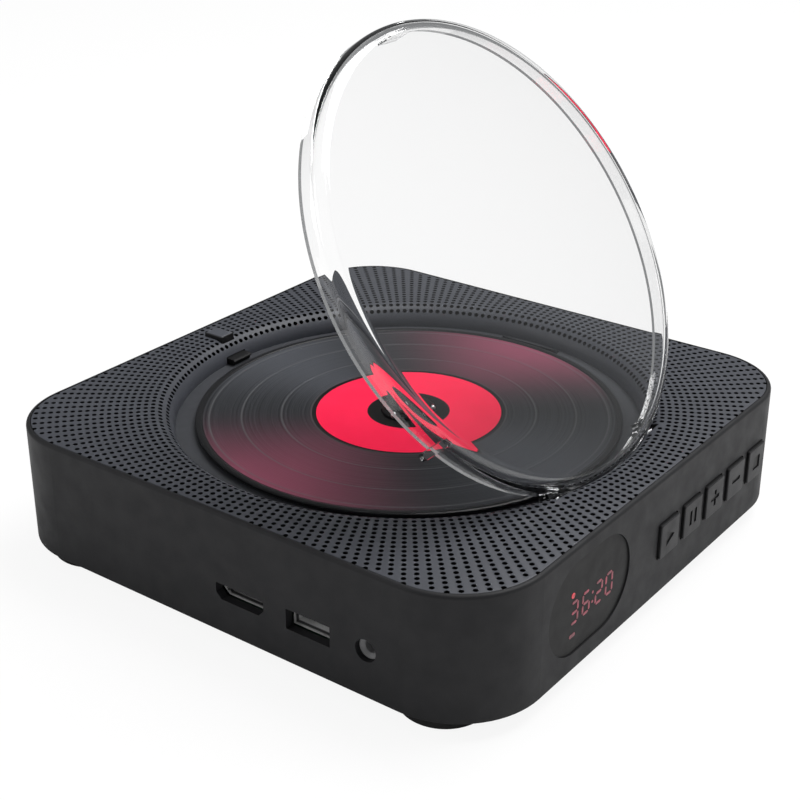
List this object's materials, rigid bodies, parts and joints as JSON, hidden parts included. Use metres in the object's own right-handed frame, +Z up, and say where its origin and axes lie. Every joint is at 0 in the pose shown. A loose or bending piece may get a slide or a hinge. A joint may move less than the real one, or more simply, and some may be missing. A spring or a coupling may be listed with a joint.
{
  "type": "wall mounted disc player",
  "caption": "Square disc player for a wall or table, with a round clear hinged lid over the disc, a perforated top, side keys, a display and sockets.",
  "frame": {"origin": "on the spindle axis at the plane that the feet stand on, which is the middle of the base", "axes": "+Z up out of the disc well; +X towards the side with the display, the keys and the lid's hinge; -Y towards the side with the sockets"},
  "size_m": [0.1649, 0.164, 0.1444],
  "materials": {
    "charcoal_plastic": "fine moulded grain",
    "grille_plastic": "satin, perforated",
    "inner_plastic": "dark, slightly rough",
    "clear_plastic": "clear, polished",
    "dark_window": "smoked, smooth",
    "key_plastic": "moulded, icons sunk in",
    "soft_rubber": "soft black",
    "steel": "bright zinc plated",
    "spring_steel": "drawn wire",
    "board_green": "coated laminate",
    "chip_black": "moulded packages",
    "connector_shell": "tin plated",
    "disc_plastic": "grooved black face with a pink label",
    "white_plastic": "moulded",
    "lens_clear": "polished",
    "battery_wrap": "shrink film",
    "cone_paper": "pressed pulp",
    "magnet_black": "coated"
  },
  "bodies": {
    "housing": {"housing_shell": "charcoal_plastic", "grille_panel": "grille_plastic", "well_floor": "inner_plastic", "base_cover": "charcoal_plastic", "base_screws": "steel", "well_screws": "steel", "hinge_bracket_left": "inner_plastic", "hinge_bracket_right": "inner_plastic", "hinge_springs": "spring_steel", "button_springs": "spring_steel", "key_switches": "chip_black", "front_board": "board_green", "display_window": "dark_window", "display_module": "chip_black", "main_board": "board_green", "board_chips": "chip_black", "board_screws": "steel", "hdmi_port": "connector_shell", "usb_port": "connector_shell", "audio_jack": "inner_plastic", "drive_chassis": "steel", "guide_rods": "steel", "grommets": "soft_rubber", "mech_screws": "steel", "spindle_motor": "steel", "sled_motor": "steel", "gear_axle": "steel", "battery": "battery_wrap", "battery_holder": "inner_plastic", "foot_1": "soft_rubber", "foot_2": "soft_rubber", "foot_3": "soft_rubber", "foot_4": "soft_rubber", "speaker_frame_1": "inner_plastic", "speaker_cone_1": "cone_paper", "speaker_magnet_1": "magnet_black", "speaker_frame_2": "inner_plastic", "speaker_cone_2": "cone_paper", "speaker_magnet_2": "magnet_black"},
    "lid": {"lid": "clear_plastic", "hinge_pins": "steel"},
    "open_button": {"open_button": "grille_plastic"},
    "latch": {"latch_slider": "inner_plastic"},
    "spindle": {"spindle_shaft": "steel", "turntable": "inner_plastic", "chuck_balls": "steel"},
    "disc": {"disc": "disc_plastic"},
    "sled": {"pickup_sled": "inner_plastic"},
    "lens": {"lens_holder": "inner_plastic", "objective_lens": "lens_clear"},
    "sled_gear": {"sled_gear": "white_plastic"},
    "motor_pinion": {"motor_pinion": "white_plastic"},
    "key_play": {"key_play": "key_plastic"},
    "key_pause": {"key_pause": "key_plastic"},
    "key_plus": {"key_plus": "key_plastic"},
    "key_minus": {"key_minus": "key_plastic"},
    "key_stop": {"key_stop": "key_plastic"}
  },
  "joints": [
    {"name": "lid_hinge", "type": "hinge", "parent": "housing", "child": "lid", "pos_m": [0.06276, 0, 0.036], "axis": [0, 1, 0], "range_deg": [-56.4, 0], "stiffness_Nm_per_rad": 0.02, "springref_deg": 57.3},
    {"name": "disc_spin", "type": "hinge", "parent": "housing", "child": "spindle", "pos_m": [0, 0, 0.03], "axis": [0, 0, 1], "continuous": true},
    {"name": "disc_lift", "type": "slide", "parent": "spindle", "child": "disc", "axis": [0, 0, 1], "range_m": [0, 0.01]},
    {"name": "sled_travel", "type": "slide", "parent": "housing", "child": "sled", "axis": [0, 1, 0], "range_m": [0, 0.036]},
    {"name": "sled_gear_spin", "type": "hinge", "parent": "housing", "child": "sled_gear", "pos_m": [0.02505, 0.037, 0.02], "axis": [0, 0, 1], "range_deg": [-700, 12]},
    {"name": "lens_focus", "type": "slide", "parent": "sled", "child": "lens", "axis": [0, 0, 1], "range_m": [-0.0004, 0.0004], "stiffness_N_per_m": 15},
    {"name": "motor_pinion_spin", "type": "hinge", "parent": "housing", "child": "motor_pinion", "pos_m": [0.0396, 0.037, 0.02], "axis": [0, 0, 1], "range_deg": [-60, 3360]},
    {"name": "open_press", "type": "slide", "parent": "housing", "child": "open_button", "axis": [0, 0, -1], "range_m": [0, 0.001], "stiffness_N_per_m": 500, "springref_m": -0.001, "deforming": ["button_springs"]},
    {"name": "latch_slide", "type": "slide", "parent": "housing", "child": "latch", "axis": [-1, 0, 0], "range_m": [0, 0.001]},
    {"name": "play_press", "type": "slide", "parent": "housing", "child": "key_play", "axis": [-1, 0, 0], "range_m": [0, 0.0006], "stiffness_N_per_m": 800, "springref_m": -0.0005},
    {"name": "pause_press", "type": "slide", "parent": "housing", "child": "key_pause", "axis": [-1, 0, 0], "range_m": [0, 0.0006], "stiffness_N_per_m": 800, "springref_m": -0.0005},
    {"name": "plus_press", "type": "slide", "parent": "housing", "child": "key_plus", "axis": [-1, 0, 0], "range_m": [0, 0.0006], "stiffness_N_per_m": 800, "springref_m": -0.0005},
    {"name": "minus_press", "type": "slide", "parent": "housing", "child": "key_minus", "axis": [-1, 0, 0], "range_m": [0, 0.0006], "stiffness_N_per_m": 800, "springref_m": -0.0005},
    {"name": "stop_press", "type": "slide", "parent": "housing", "child": "key_stop", "axis": [-1, 0, 0], "range_m": [0, 0.0006], "stiffness_N_per_m": 800, "springref_m": -0.0005}
  ],
  "couplings": [
    {"joint": "sled_gear_spin", "follows": "sled_travel", "rad_per_m": -333.33},
    {"joint": "motor_pinion_spin", "follows": "sled_travel", "rad_per_m": 1600},
    {"joint": "latch_slide", "follows": "open_press", "ratio": 1}
  ]
}
